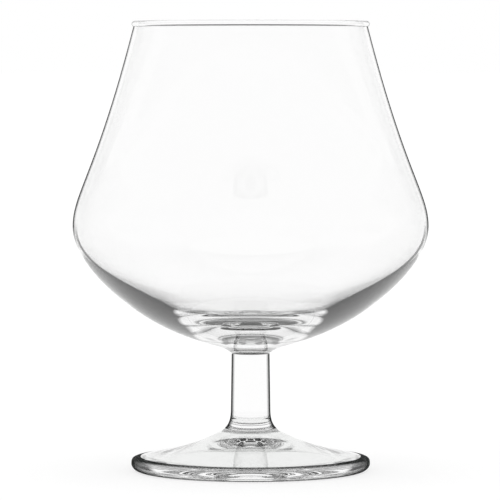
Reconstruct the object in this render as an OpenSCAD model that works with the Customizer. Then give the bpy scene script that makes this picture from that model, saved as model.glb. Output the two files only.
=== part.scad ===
// Brandy snifter: a blown bowl on a short solid stem and a pressed foot,
// three pieces of clear glass fused end to end.
// Millimetres, +Z up, origin on the table under the axis of the glass.

/* [Foot] */
// Diameter of the foot at its widest line
foot_d = 71.3; // [60:0.1:84]
// Height of the widest line above the table
edge_h = 2.1; // [1.4:0.1:3]
// How far the resting ring lies inside the widest line
undercut_w = 2.4; // [1:0.1:5]
// Width of the flat ring that the glass rests on
rest_ring_w = 1.2; // [0.6:0.1:4]
// Rise of the hollow underside at the axis
hollow_h = 7; // [1:0.1:8.5]
// How far the rounded edge reaches in over the top
crest_w = 1.2; // [0.6:0.1:3]
// Height of the rounded edge above the widest line
crest_h = 1.8; // [1.2:0.1:3]
// Angle of the top slope at the rounded edge, from level
top_slope = 10.5; // [6:0.5:16]
// Height of the foot, up to its joint with the stem
foot_h = 18; // [16:0.1:24]
// How far the flare stands out from the stem where the top slope meets it
flare_w = 3.7; // [2:0.1:6]
// Height of the flare below the joint
flare_h = 6.7; // [4:0.1:8.5]
// Angle of the surface where the top slope meets the flare, from level
flare_slope = 26.5; // [18:0.5:40]

/* [Stem] */
// Diameter of the stem at its joint with the foot
stem_foot_d = 11.8; // [9:0.1:15]
// Diameter of the stem at its joint with the bowl
stem_bowl_d = 11.3; // [8:0.1:15]
// Length of the stem between its two joints
stem_l = 16.9; // [8:0.1:60]

/* [Bowl] */
// Height of the bowl, from its joint with the stem to the top of the rim
bowl_h = 99.1; // [85:0.1:120]
// Diameter of the bowl at its widest, the belly
belly_d = 106; // [94:0.5:120]
// Height of the belly above the joint
belly_h = 38.1; // [32:0.1:46]
// Diameter of the lower bowl at the flank
flank_d = 72; // [60:0.5:84]
// Height of the flank above the joint
flank_h = 14.35; // [11:0.05:19]
// Angle of the wall at the flank, from level
flank_slope = 36.5; // [28:0.5:46]
// Angle of the underside where it leaves the joint, from level
heel_slope = 58; // [30:1:75]

/* [Rim] */
// Outer diameter of the fire-polished bead
rim_d = 70.7; // [60:0.1:84]
// Thickness of the bead
bead_d = 1.8; // [1.4:0.1:2.6]
// Lean of the wall towards the axis at the rim
rim_lean = 14.5; // [8:0.5:22]

/* [Wall of the bowl] */
// Wall under the bead
rim_wall = 1.1; // [0.8:0.05:1.35]
// Wall at the belly
belly_wall = 0.8; // [0.6:0.05:2]
// Wall at the flank, square to the surface
flank_wall = 2.25; // [1:0.05:4]
// Angle of the inside at the flank, from level, where the basin starts
basin_slope = 33; // [28:0.5:38]
// Glass between the joint and the inside of the bowl, at the axis
floor_t = 8.6; // [4:0.1:12]

/* [Fullness of the curves] */
// Hollow underside, at the axis
hollow_full = 0.35; // [0.2:0.01:0.5]
// Hollow underside, at the resting ring
ring_full = 0.25; // [0.1:0.01:0.4]
// Rounding under the foot's edge
edge_full = 0.36; // [0.25:0.01:0.5]
// Rounding over the foot's edge
crest_full = 0.5; // [0.3:0.01:0.6]
// Top of the foot, at the edge
top_full = 0.5; // [0.3:0.01:0.6]
// Top of the foot, at the flare
flare_top_full = 0.31; // [0.2:0.01:0.4]
// Flare, at the top of the foot
flare_low_full = 0.39; // [0.2:0.01:0.5]
// Flare, at the stem
flare_high_full = 0.47; // [0.2:0.01:0.6]
// Underside of the bowl, at the joint
heel_full = 0.11; // [0.05:0.01:0.2]
// Underside of the bowl, at the flank
under_full = 0.58; // [0.4:0.01:0.7]
// Lower wall, at the flank
flank_full = 0.21; // [0.1:0.01:0.4]
// Lower wall, at the belly
belly_low_full = 0.34; // [0.2:0.01:0.5]
// Upper wall, at the belly
belly_high_full = 0.16; // [0.08:0.01:0.3]
// Upper wall, at the rim
rim_full = 0.735; // [0.5:0.005:0.8]
// Inside of the lower wall, at the flank
inner_flank_full = 0.3; // [0.1:0.01:0.4]
// Basin inside the bowl, at the flank
basin_full = 0.3; // [0.2:0.01:0.55]
// Basin inside the bowl, at the axis
floor_full = 0.42; // [0.3:0.01:0.55]

/* [Hidden] */

// Straight steps in each curve, and around the axis
curve_steps = 24;
$fn = 180;

// Levels of the two fused joints and of the rim
stem_z = foot_h;
bowl_z = stem_z + stem_l;
rim_z = bowl_z + bowl_h;

// Headings in the plane of the outlines, where X is the radius and Y the height
outwards = 0;
up = 90;
inwards = 180;
down = 270;

// Unit step along a heading
function step_to(heading) = [cos(heading), sin(heading)];

// Points of a smooth curve that leaves start and arrives at end on the given headings.
// Each fullness is the reach of the tangent there, as a share of the distance between
// the two points. The start itself is left out.
function curve(start, leaving, full_start, end, arriving, full_end) =
    let (
        span = norm(end - start),
        pull_start = start + full_start * span * step_to(leaving),
        pull_end = end - full_end * span * step_to(arriving)
    ) [
        for (i = [1:curve_steps])
            let (t = i / curve_steps, u = 1 - t)
                u * u * u * start + 3 * u * u * t * pull_start + 3 * u * t * t * pull_end + t * t * t * end
    ];

// Foot outline
edge = [foot_d / 2, edge_h];
rest_outer = [foot_d / 2 - undercut_w, 0];
rest_inner = rest_outer - [rest_ring_w, 0];
hollow_top = [0, hollow_h];
crest = edge + [-crest_w, crest_h];
foot_joint = [stem_foot_d / 2, stem_z];
flare = foot_joint + [flare_w, -flare_h];

// Bowl outline, outside
bowl_joint = [stem_bowl_d / 2, bowl_z];
flank = [flank_d / 2, bowl_z + flank_h];
belly = [belly_d / 2, bowl_z + belly_h];
stem_heading = up + atan((foot_joint[0] - bowl_joint[0]) / stem_l);

// The bead lies flush with the inside of the wall and stands proud outside
rim_across = step_to(rim_lean);
bead_centre = [rim_d / 2 - bead_d / 2, rim_z - bead_d / 2];
rim_inner = bead_centre - bead_d / 2 * rim_across;
rim_outer = rim_inner + rim_wall * rim_across;

// Bowl outline, inside
belly_inner = belly - [belly_wall, 0];
flank_inner = flank + flank_wall * step_to(flank_slope + up);
floor_top = [0, bowl_z + floor_t];

module foot_outline() {
    top_heading = inwards - top_slope;
    flare_heading = inwards - flare_slope;
    polygon(concat(
        [hollow_top],
        curve(hollow_top, outwards, hollow_full, rest_inner, outwards, ring_full),
        [rest_outer],
        curve(rest_outer, outwards, edge_full, edge, up, edge_full),
        curve(edge, up, crest_full, crest, top_heading, crest_full),
        curve(crest, top_heading, top_full, flare, flare_heading, flare_top_full),
        curve(flare, flare_heading, flare_low_full, foot_joint, stem_heading, flare_high_full),
        [[0, stem_z]]
    ));
}

module stem_outline() {
    polygon([[0, stem_z], foot_joint, bowl_joint, [0, bowl_z]]);
}

module bowl_outline() {
    basin_heading = inwards + basin_slope;
    polygon(concat(
        [[0, bowl_z], bowl_joint],
        curve(bowl_joint, heel_slope, heel_full, flank, flank_slope, under_full),
        curve(flank, flank_slope, flank_full, belly, up, belly_low_full),
        curve(belly, up, belly_high_full, rim_outer, up + rim_lean, rim_full),
        [rim_inner],
        curve(rim_inner, down + rim_lean, rim_full, belly_inner, down, belly_high_full),
        curve(belly_inner, down, belly_low_full, flank_inner, basin_heading, inner_flank_full),
        curve(flank_inner, basin_heading, basin_full, floor_top, inwards, floor_full)
    ));
    translate(bead_centre)
        circle(d = bead_d);
}

// Pressed foot, with the flare that rises to the stem
module foot() {
    color([0.84, 0.87, 0.86, 0.5])
        rotate_extrude()
            foot_outline();
}

// Solid stem, a little wider towards the foot
module stem() {
    color([0.90, 0.92, 0.91, 0.5])
        rotate_extrude()
            stem_outline();
}

// Blown bowl, thin at the belly and thick at its floor
module bowl() {
    color([0.94, 0.96, 0.95, 0.35])
        rotate_extrude()
            bowl_outline();
}

bowl();
stem();
foot();
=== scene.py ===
"""A brandy snifter in clear glass: bowl, stem and foot, standing on a white table.

The outlines are drawn in millimetres, with X as the radius and Z as the height, and spun about the axis.
"""
import math

import bpy
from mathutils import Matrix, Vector


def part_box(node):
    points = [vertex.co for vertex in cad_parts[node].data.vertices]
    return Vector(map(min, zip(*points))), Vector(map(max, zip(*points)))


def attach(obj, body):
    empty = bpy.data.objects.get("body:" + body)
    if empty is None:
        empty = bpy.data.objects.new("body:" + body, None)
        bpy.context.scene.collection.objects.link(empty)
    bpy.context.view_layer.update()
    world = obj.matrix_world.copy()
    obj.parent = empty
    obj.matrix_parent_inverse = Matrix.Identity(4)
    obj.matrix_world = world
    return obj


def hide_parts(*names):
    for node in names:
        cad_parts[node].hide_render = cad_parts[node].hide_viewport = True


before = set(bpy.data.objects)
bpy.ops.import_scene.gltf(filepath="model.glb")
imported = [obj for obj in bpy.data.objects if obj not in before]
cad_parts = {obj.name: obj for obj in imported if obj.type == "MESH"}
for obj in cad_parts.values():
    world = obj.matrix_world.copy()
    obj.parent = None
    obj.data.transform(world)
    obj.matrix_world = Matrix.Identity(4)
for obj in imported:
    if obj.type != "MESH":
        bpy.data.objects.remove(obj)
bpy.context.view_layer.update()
MM = 0.001

# Sizes that the frame gives, in millimetres
foot_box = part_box("foot")
bowl_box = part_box("bowl")
FOOT_R = foot_box[1].x / MM
STEM_Z = foot_box[1].z / MM
BOWL_Z = bowl_box[0].z / MM
RIM_Z = bowl_box[1].z / MM
BELLY_R = bowl_box[1].x / MM

# Foot, in millimetres and degrees
EDGE_H = 2.1
UNDERCUT_W = 2.4
REST_RING_W = 1.2
HOLLOW_H = 7.0
CREST_W = 1.2
CREST_H = 1.8
TOP_SLOPE = 10.5
FLARE_W = 3.7
FLARE_H = 6.7
FLARE_SLOPE = 26.5

# Stem, in millimetres
STEM_FOOT_R = 5.9
STEM_BOWL_R = 5.65

# Bowl, in millimetres and degrees
BELLY_H = 38.1
FLANK_R = 36.0
FLANK_H = 14.35
FLANK_SLOPE = 36.5
HEEL_SLOPE = 58.0
RIM_R = 35.35
BEAD_R = 0.9
RIM_LEAN = 14.5
RIM_WALL = 1.1
BELLY_WALL = 0.8
FLANK_WALL = 2.25
BASIN_SLOPE = 33.0
FLOOR_T = 8.6

# Fullness of the curves, as a share of the distance between a curve's ends
HOLLOW_FULL = 0.35
RING_FULL = 0.25
EDGE_FULL = 0.36
CREST_FULL = 0.5
TOP_FULL = 0.5
FLARE_TOP_FULL = 0.31
FLARE_LOW_FULL = 0.39
FLARE_HIGH_FULL = 0.47
HEEL_FULL = 0.11
UNDER_FULL = 0.58
FLANK_FULL = 0.21
BELLY_LOW_FULL = 0.34
BELLY_HIGH_FULL = 0.16
RIM_FULL = 0.735
INNER_FLANK_FULL = 0.3
BASIN_FULL = 0.3
FLOOR_FULL = 0.42

# Straight steps in each curve, and around the axis
CURVE_STEPS = 24
SPIN_STEPS = 256

# Degrees between two faces, up to which they shade as one smooth surface
SMOOTH_ANGLE = 35

# Metres within which points are one point, and a face lies at a level
MERGE_GAP = 1e-7
LEVEL_GAP = 1e-6

# Headings in the plane of the outlines
OUTWARDS = 0
UP = 90
INWARDS = 180
DOWN = 270


def point(radius, height):
    return Vector((radius, 0.0, height))


def step_to(heading):
    a = math.radians(heading)
    return Vector((math.cos(a), 0.0, math.sin(a)))


def bend(start, leaving, full_start, end, arriving, full_end):
    """One smooth stretch of an outline: its two ends and the two handles between them."""
    span = (end - start).length
    pull_start = start + step_to(leaving) * full_start * span
    pull_end = end - step_to(arriving) * full_end * span
    return start, pull_start, pull_end, end


def straight(start, end):
    return start, start.lerp(end, 1 / 3), start.lerp(end, 2 / 3), end


def arc(centre, radius, start_heading, end_heading):
    """A stretch along a circle, which starts and ends at headings from its centre.

    The reach of the handles is the one that keeps a cubic curve closest to the circle.
    """
    reach = 4 / 3 * math.tan(math.radians(end_heading - start_heading) / 4) * radius
    start = centre + step_to(start_heading) * radius
    end = centre + step_to(end_heading) * radius
    pull_start = start + step_to(start_heading + UP) * reach
    pull_end = end - step_to(end_heading + UP) * reach
    return start, pull_start, pull_end, end


def draw_outline(name, stretches):
    """Draws the stretches, end to end, as one curve and turns it into a chain of edges."""
    bpy.ops.object.select_all(action="DESELECT")
    bpy.ops.curve.primitive_bezier_curve_add()
    outline = bpy.context.object
    outline.name = name
    outline.data.resolution_u = CURVE_STEPS
    spline = outline.data.splines[0]
    spline.resolution_u = CURVE_STEPS
    spline.bezier_points.add(len(stretches) - 1)
    for knot in spline.bezier_points:
        knot.handle_left_type = knot.handle_right_type = "FREE"
    for i, (start, pull_start, pull_end, end) in enumerate(stretches):
        here, there = spline.bezier_points[i], spline.bezier_points[i + 1]
        here.co, here.handle_right = start * MM, pull_start * MM
        there.co, there.handle_left = end * MM, pull_end * MM
    bpy.ops.object.convert(target="MESH")
    return bpy.context.object


def spin_piece(name, stretches):
    """Spins an outline that starts and ends on the axis into a closed piece."""
    piece = draw_outline(name, stretches)
    bpy.ops.object.mode_set(mode="EDIT")
    bpy.ops.mesh.select_all(action="SELECT")
    bpy.ops.mesh.spin(steps=SPIN_STEPS, angle=2 * math.pi, center=(0, 0, 0), axis=(0, 0, 1))
    bpy.ops.mesh.select_all(action="SELECT")
    bpy.ops.mesh.remove_doubles(threshold=MERGE_GAP)
    bpy.ops.mesh.normals_make_consistent(inside=False)
    bpy.ops.object.mode_set(mode="OBJECT")
    bpy.ops.object.shade_smooth_by_angle(angle=math.radians(SMOOTH_ANGLE))
    piece.data.name = name
    return piece


def add_node(tree, kind, settings=None, links=None):
    """Adds a node, sets its values and links its inputs."""
    node = tree.nodes.new(kind)
    for key, value in (settings or {}).items():
        if isinstance(key, int) or key in node.inputs:
            node.inputs[key].default_value = value
        else:
            setattr(node, key, value)
    for key, socket in (links or {}).items():
        tree.links.new(socket, node.inputs[key])
    return node


def linear(hex_colour):
    """An sRGB hex colour as linear red, green, blue and alpha."""
    parts = [int(hex_colour[i:i + 2], 16) / 255 for i in (1, 3, 5)]
    return [p / 12.92 if p <= 0.04045 else ((p + 0.055) / 1.055) ** 2.4 for p in parts] + [1.0]


def new_material(name):
    material = bpy.data.materials.new(name)
    material.use_nodes = True
    tree = material.node_tree
    tree.nodes.clear()
    return material, tree, add_node(tree, "ShaderNodeOutputMaterial")


CLEAR = "#FEFEFE"
PALE_GREY = "#ECEDEC"
# Colour of the painted shade along the glass's edges
PAINTED_SHADE_COLOUR = "#161A18"
SODA_LIME_IOR = 1.52

# Share of painted dark shade that is mixed into the glass along an edge
PAINTED_SHADE_SHARE = 0.95

# Facing at which light inside the glass only just gets out, half the width of the painted dark line that is
# drawn there, and the levels in millimetres between which the painted line sets in
CRITICAL_FACING = 0.2445
CRITICAL_BAND = 0.0032
LINE_LEVELS = (54.0, 62.0)

# Levels under the table, for painted edge shade at every height
ALL_LEVELS = (-1.0, 0.0)


def painted_edge_shade(tree, place, edge, levels, inner_line):
    """Share of painted dark shade that is mixed into the glass where the view skims along the surface.

    edge holds two facings, from 0 head on to 1 along the surface, between which the painted shade grows,
    and levels the two heights in millimetres between which it sets in. inner_line adds a painted thin dark
    line inside the glass.
    """
    height = add_node(tree, "ShaderNodeSeparateXYZ", {}, {0: place.outputs["Object"]})
    most = add_node(tree, "ShaderNodeMapRange", {
        "From Min": levels[0] * MM,
        "From Max": levels[1] * MM,
        "To Max": PAINTED_SHADE_SHARE,
    }, {"Value": height.outputs["Z"]})
    slant = add_node(tree, "ShaderNodeLayerWeight")
    skimming = add_node(tree, "ShaderNodeMapRange", {"From Min": edge[0], "From Max": edge[1]}, {
        "Value": slant.outputs["Facing"],
        "To Max": most.outputs[0],
    })
    side = add_node(tree, "ShaderNodeNewGeometry")
    shade_mix = add_node(tree, "ShaderNodeMapRange", {"To Max": 0.0}, {
        "Value": side.outputs["Backfacing"],
        "To Min": skimming.outputs[0],
    })
    if inner_line:
        # Painted thin dark line inside the glass, in a narrow band round the facing at which light only
        # just gets out
        near = add_node(tree, "ShaderNodeMath", {
            "operation": "COMPARE",
            1: CRITICAL_FACING,
            2: CRITICAL_BAND,
        }, {0: slant.outputs["Facing"]})
        rise = add_node(tree, "ShaderNodeMapRange", {
            "From Min": LINE_LEVELS[0] * MM,
            "From Max": LINE_LEVELS[1] * MM,
        }, {
            "Value": height.outputs["Z"],
            "To Max": most.outputs[0],
        })
        line = add_node(tree, "ShaderNodeMath", {"operation": "MULTIPLY"}, {
            0: near.outputs[0],
            1: rise.outputs[0],
        })
        tree.links.new(line.outputs[0], shade_mix.inputs["To Max"])
    return shade_mix.outputs[0]


def clear_glass(name, wave_mm, wave_h_mm, tint=CLEAR, edge=None, levels=ALL_LEVELS, inner_line=False):
    """Fire-polished soda-lime glass whose surface swells and dips in faint waves."""
    material, tree, output = new_material(name)
    place = add_node(tree, "ShaderNodeTexCoord")
    waves = add_node(tree, "ShaderNodeTexNoise", {"Scale": 1 / (wave_mm * MM), "Detail": 1.0}, {
        "Vector": place.outputs["Object"],
    })
    bump = add_node(tree, "ShaderNodeBump", {"Strength": 1.0, "Distance": wave_h_mm * MM}, {
        "Height": waves.outputs["Fac"],
    })
    glass = add_node(tree, "ShaderNodeBsdfPrincipled", {
        "Base Color": linear(tint),
        "Roughness": 0.0,
        "IOR": SODA_LIME_IOR,
        "Transmission Weight": 1.0,
    }, {"Normal": bump.outputs["Normal"]})
    surface = glass
    # Painted shade: a dark matt surface mixed into the glass along its edges, standing in for the dark
    # outline that the glass shows there
    if edge:
        shade_paint = add_node(tree, "ShaderNodeBsdfDiffuse", {"Color": linear(PAINTED_SHADE_COLOUR)})
        surface = add_node(tree, "ShaderNodeMixShader", {}, {
            0: painted_edge_shade(tree, place, edge, levels, inner_line),
            1: glass.outputs["BSDF"],
            2: shade_paint.outputs["BSDF"],
        })
    tree.links.new(surface.outputs[0], output.inputs["Surface"])
    return material


def fused_joint():
    material, tree, output = new_material("fused_joint")
    clear = add_node(tree, "ShaderNodeBsdfTransparent")
    tree.links.new(clear.outputs["BSDF"], output.inputs["Surface"])
    return material


def finish_piece(piece, node, glass_of):
    """Gives each face its glass and puts the piece in the node's place."""
    slots = {}
    for face in piece.data.polygons:
        glass = glass_of(face)
        if glass.name not in slots:
            slots[glass.name] = len(slots)
            piece.data.materials.append(glass)
        face.material_index = slots[glass.name]
    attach(piece, "root")
    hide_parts(node)


def at_level(face, level):
    return abs(face.center.z - level * MM) < LEVEL_GAP


# Where one glass gives way to the next, in millimetres above the table, and the width of the foot's edge
FLARE_FOOT_Z = 12.6
EDGE_TOP_Z = 4.3
EDGE_W = 2.4
WALL_FOOT_Z = 66.0
INSIDE_TOP_Z = 74.5

# Levels in millimetres between which the wall's painted dark line sets in, upwards, and the inside's,
# downwards
WALL_LEVELS = (WALL_FOOT_Z, 73.0)
INSIDE_LEVELS = (74.0, 69.0)

# Waves that each way of working the glass leaves, by their length and height in millimetres
BLOWN_WAVES = {"wave_mm": 18, "wave_h_mm": 0.004}
DRAWN_WAVES = {"wave_mm": 14, "wave_h_mm": 0.004}
PRESSED_WAVES = {"wave_mm": 11, "wave_h_mm": 0.012}

# Bowl: blown into a turning mould, which leaves faint swells that hardly show
blown_glass = clear_glass("blown_glass", **BLOWN_WAVES)

# Upper wall of the bowl: a fine dark outline, painted shade mixed into the glass where the wall is seen
# along its length
blown_glass_wall_painted_edge = clear_glass("blown_glass_wall_painted_edge", **BLOWN_WAVES, edge=(0.82, 0.91), levels=WALL_LEVELS)

# Rim: a bead melted round, whose edge gets a fainter painted dark line than the wall's
blown_glass_rim_painted_edge = clear_glass("blown_glass_rim_painted_edge", **BLOWN_WAVES, edge=(0.88, 1.0))

# Inside of the lower bowl: the painted dark line moves in here, to where the thick wall ends, with a
# painted thin line inside the glass
blown_glass_inside_painted_line = clear_glass(
    "blown_glass_inside_painted_line",
    **BLOWN_WAVES,
    edge=(0.85, 0.91),
    levels=INSIDE_LEVELS,
    inner_line=True,
)

# Stem and flare: a drawn rod, clear in the middle, with painted dark shade along both edges, where it bends
# light far aside
drawn_glass_painted_edges = clear_glass("drawn_glass_painted_edges", **DRAWN_WAVES, edge=(0.42, 0.66))

# Foot: pressed and then fire-polished, a thick plate with a trace of grey whose waves break up the streaks
pressed_glass = clear_glass("pressed_glass", **PRESSED_WAVES, tint=PALE_GREY)

# Rounded edge of the foot: a thick bead of glass, with painted dark shade where it turns away
pressed_glass_edge_painted_shade = clear_glass("pressed_glass_edge_painted_shade", **PRESSED_WAVES, edge=(0.45, 0.78))

# Joints: melted through, so that nothing of the discs between the pieces shows
joint = fused_joint()

# Foot
edge = point(FOOT_R, EDGE_H)
rest_outer = point(FOOT_R - UNDERCUT_W, 0)
rest_inner = rest_outer - point(REST_RING_W, 0)
hollow_top = point(0, HOLLOW_H)
crest = edge + point(-CREST_W, CREST_H)
foot_joint = point(STEM_FOOT_R, STEM_Z)
flare = foot_joint + point(FLARE_W, -FLARE_H)
bowl_joint = point(STEM_BOWL_R, BOWL_Z)
stem_heading = UP + math.degrees(math.atan((STEM_FOOT_R - STEM_BOWL_R) / (BOWL_Z - STEM_Z)))
top_heading = INWARDS - TOP_SLOPE
flare_heading = INWARDS - FLARE_SLOPE
foot = spin_piece("glass_foot", [
    bend(hollow_top, OUTWARDS, HOLLOW_FULL, rest_inner, OUTWARDS, RING_FULL),
    straight(rest_inner, rest_outer),
    bend(rest_outer, OUTWARDS, EDGE_FULL, edge, UP, EDGE_FULL),
    bend(edge, UP, CREST_FULL, crest, top_heading, CREST_FULL),
    bend(crest, top_heading, TOP_FULL, flare, flare_heading, FLARE_TOP_FULL),
    bend(flare, flare_heading, FLARE_LOW_FULL, foot_joint, stem_heading, FLARE_HIGH_FULL),
    straight(foot_joint, point(0, STEM_Z)),
])


def foot_glass(face):
    if at_level(face, STEM_Z):
        return joint
    if face.center.z > FLARE_FOOT_Z * MM:
        return drawn_glass_painted_edges
    on_edge = face.center.xy.length > (FOOT_R - EDGE_W) * MM and face.center.z < EDGE_TOP_Z * MM
    return pressed_glass_edge_painted_shade if on_edge else pressed_glass


finish_piece(foot, "foot", foot_glass)

# Stem
stem = spin_piece("glass_stem", [
    straight(point(0, STEM_Z), foot_joint),
    straight(foot_joint, bowl_joint),
    straight(bowl_joint, point(0, BOWL_Z)),
])


def stem_glass(face):
    return joint if at_level(face, STEM_Z) or at_level(face, BOWL_Z) else drawn_glass_painted_edges


finish_piece(stem, "stem", stem_glass)

# Bowl
flank = point(FLANK_R, BOWL_Z + FLANK_H)
belly = point(BELLY_R, BOWL_Z + BELLY_H)
rim_across = step_to(RIM_LEAN)
bead_centre = point(RIM_R - BEAD_R, RIM_Z - BEAD_R)
rim_inner = bead_centre - rim_across * BEAD_R
belly_inner = belly - point(BELLY_WALL, 0)
flank_inner = flank + step_to(FLANK_SLOPE + UP) * FLANK_WALL
floor_top = point(0, BOWL_Z + FLOOR_T)

# The bead's outline leaves the wall where the two cross and goes round to the inside
bead_start = RIM_LEAN - math.degrees(math.acos((RIM_WALL - BEAD_R) / BEAD_R))
bead_end = INWARDS + RIM_LEAN
bead_middle = (bead_start + bead_end) / 2
bead_foot = bead_centre + step_to(bead_start) * BEAD_R

bowl = spin_piece("glass_bowl", [
    straight(point(0, BOWL_Z), bowl_joint),
    bend(bowl_joint, HEEL_SLOPE, HEEL_FULL, flank, FLANK_SLOPE, UNDER_FULL),
    bend(flank, FLANK_SLOPE, FLANK_FULL, belly, UP, BELLY_LOW_FULL),
    bend(belly, UP, BELLY_HIGH_FULL, bead_foot, UP + RIM_LEAN, RIM_FULL),
    arc(bead_centre, BEAD_R, bead_start, bead_middle),
    arc(bead_centre, BEAD_R, bead_middle, bead_end),
    bend(rim_inner, DOWN + RIM_LEAN, RIM_FULL, belly_inner, DOWN, BELLY_HIGH_FULL),
    bend(belly_inner, DOWN, BELLY_LOW_FULL, flank_inner, INWARDS + BASIN_SLOPE, INNER_FLANK_FULL),
    bend(flank_inner, INWARDS + BASIN_SLOPE, BASIN_FULL, floor_top, INWARDS, FLOOR_FULL),
])


def bowl_glass(face):
    if at_level(face, BOWL_Z):
        return joint
    outwards = Vector((face.center.x, face.center.y, 0)).normalized()
    inside = face.normal.dot(outwards) < 0 and face.center.z < bead_centre.z * MM
    if inside:
        return blown_glass_inside_painted_line if face.center.z < INSIDE_TOP_Z * MM else blown_glass
    if face.center.z > bead_foot.z * MM:
        return blown_glass_rim_painted_edge
    return blown_glass_wall_painted_edge if face.center.z > WALL_FOOT_Z * MM else blown_glass


finish_piece(bowl, "bowl", bowl_glass)

# White table, in metres
WHITE = "#FFFFFF"
WHITE_PAINT = "#F6F6F6"
TABLE_R = 60.0
TABLE_GAP = 0.00005
TABLE_STEPS = 96

# Share and strength of the glow that lifts the table to white
TABLE_GLOW = 0.6
GLOW_STRENGTH = 1.15


def painted_table():
    """Matt white paint that shows the shadow of the glass, lifted to white for the camera alone."""
    material, tree, output = new_material("painted_table")
    paint = add_node(tree, "ShaderNodeBsdfDiffuse", {"Color": linear(WHITE_PAINT)})
    glow = add_node(tree, "ShaderNodeEmission", {"Color": linear(WHITE), "Strength": GLOW_STRENGTH})
    path = add_node(tree, "ShaderNodeLightPath")
    share = add_node(tree, "ShaderNodeMath", {"operation": "MULTIPLY", 1: TABLE_GLOW}, {
        0: path.outputs["Is Camera Ray"],
    })
    mix = add_node(tree, "ShaderNodeMixShader", {}, {
        0: share.outputs[0],
        1: paint.outputs[0],
        2: glow.outputs[0],
    })
    tree.links.new(mix.outputs[0], output.inputs["Surface"])
    return material


bpy.ops.object.select_all(action="DESELECT")
bpy.ops.mesh.primitive_circle_add(
    vertices=TABLE_STEPS,
    radius=TABLE_R,
    fill_type="NGON",
    location=(0, 0, -TABLE_GAP),
)
table = bpy.context.object
table.name = "white_table"
table.data.materials.append(painted_table())
table.visible_glossy = False
table.visible_transmission = False


# Brightness of the studio's dim and dark parts, where 1 is white
DIM = 0.1
DARK = 0.03

# Where they begin and end, by the heading of the light: how far it points up, or across, from -1 to 1
WALL_FADE_UP = (0.2, 0.65)
CARD_EDGE_ACROSS = (0.68, 0.74)
FLOOR_EDGE_UP = (-0.14, -0.1)
FLOOR_EDGE_ACROSS = (0.5, 0.62)
RING_UP = -0.6
RING_HALF_W = 0.1
CEILING_EDGE_UP = (0.3, 0.4)


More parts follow.
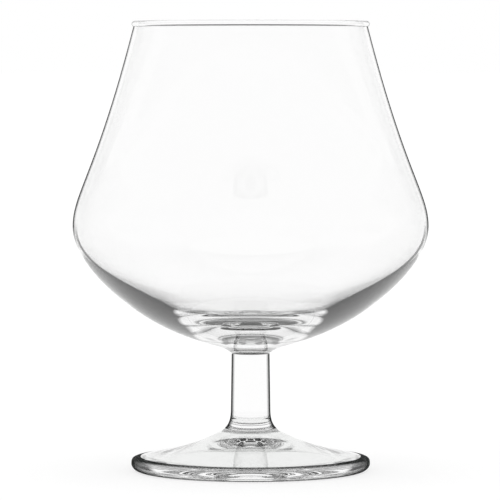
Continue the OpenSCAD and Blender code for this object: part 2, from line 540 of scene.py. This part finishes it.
def white_studio():
    """White all round, under a dim ceiling, for light that comes straight through the glass.

    Light that was thrown back once sees white everywhere. Light that was thrown to and fro inside the glass
    sees walls in front and behind, bright below and dim above, a dark card at each side, and a dark floor
    with a bright ring round the table.
    """
    world = bpy.data.worlds.new("white_studio")
    bpy.context.scene.world = world
    world.use_nodes = True
    tree = world.node_tree
    tree.nodes.clear()
    path = add_node(tree, "ShaderNodeLightPath")
    place = add_node(tree, "ShaderNodeTexCoord")
    heading = add_node(tree, "ShaderNodeSeparateXYZ", {}, {0: place.outputs["Generated"]})
    across = add_node(tree, "ShaderNodeMath", {"operation": "ABSOLUTE"}, {0: heading.outputs["X"]})
    wall = add_node(tree, "ShaderNodeMapRange", {
        "From Min": WALL_FADE_UP[0],
        "From Max": WALL_FADE_UP[1],
        "To Min": 1.0,
        "To Max": DIM,
    }, {"Value": heading.outputs["Z"]})
    cards = add_node(tree, "ShaderNodeMapRange", {
        "From Min": CARD_EDGE_ACROSS[0],
        "From Max": CARD_EDGE_ACROSS[1],
        "To Max": DARK,
    }, {
        "Value": across.outputs[0],
        "To Min": wall.outputs[0],
    })
    low = add_node(tree, "ShaderNodeMapRange", {
        "From Min": FLOOR_EDGE_UP[0],
        "From Max": FLOOR_EDGE_UP[1],
        "To Min": DARK,
    }, {"Value": heading.outputs["Z"]})
    floor = add_node(tree, "ShaderNodeMapRange", {
        "From Min": FLOOR_EDGE_ACROSS[0],
        "From Max": FLOOR_EDGE_ACROSS[1],
    }, {
        "Value": across.outputs[0],
        "To Min": low.outputs[0],
    })
    far = add_node(tree, "ShaderNodeMath", {"operation": "MINIMUM"}, {
        0: cards.outputs[0],
        1: floor.outputs[0],
    })
    ring = add_node(tree, "ShaderNodeMath", {"operation": "COMPARE", 1: RING_UP, 2: RING_HALF_W}, {
        0: heading.outputs["Z"],
    })
    room = add_node(tree, "ShaderNodeMath", {"operation": "MAXIMUM"}, {
        0: far.outputs[0],
        1: ring.outputs[0],
    })
    ceiling = add_node(tree, "ShaderNodeMapRange", {
        "From Min": CEILING_EDGE_UP[0],
        "From Max": CEILING_EDGE_UP[1],
        "To Min": 1.0,
        "To Max": DIM,
    }, {"Value": heading.outputs["Z"]})
    open_sky = add_node(tree, "ShaderNodeMath", {"operation": "MAXIMUM"}, {
        0: ceiling.outputs[0],
        1: path.outputs["Is Diffuse Ray"],
    })
    once = add_node(tree, "ShaderNodeMapRange", {}, {
        "Value": path.outputs["Glossy Depth"],
        "To Min": open_sky.outputs[0],
    })
    often = add_node(tree, "ShaderNodeMapRange", {"From Min": 1.0, "From Max": 2.0}, {
        "Value": path.outputs["Glossy Depth"],
        "To Min": once.outputs[0],
        "To Max": room.outputs[0],
    })
    light = add_node(tree, "ShaderNodeBackground", {"Color": linear(WHITE)}, {
        "Strength": often.outputs[0],
    })
    output = add_node(tree, "ShaderNodeOutputWorld")
    tree.links.new(light.outputs[0], output.inputs["Surface"])


white_studio()

# Camera, at about the height and distance from which the photograph was taken: places and reach in metres,
# lens and sensor in millimetres
CAMERA_PLACE = (0, -1.142, 0.1206)
CAMERA_AIM = Vector((-0.000185, 0, 0.06583))
CAMERA_LENS = 276.06
CAMERA_SENSOR = 36.0
CAMERA_REACH = 200
camera_data = bpy.data.cameras.new("camera")
camera_data.sensor_width = CAMERA_SENSOR
camera_data.lens = CAMERA_LENS
camera_data.clip_end = CAMERA_REACH
camera = bpy.data.objects.new("camera", camera_data)
camera.location = CAMERA_PLACE
camera.rotation_mode = "QUATERNION"
camera.rotation_quaternion = (CAMERA_AIM - camera.location).to_track_quat("-Z", "Y")
scene = bpy.context.scene
scene.collection.objects.link(camera)
scene.camera = camera

# Light may be thrown to and fro many times in the thick floor and foot
BOUNCES = 160
scene.cycles.max_bounces = BOUNCES
scene.cycles.glossy_bounces = BOUNCES
scene.cycles.transmission_bounces = BOUNCES
scene.cycles.transparent_max_bounces = BOUNCES
scene.view_settings.view_transform = "Standard"
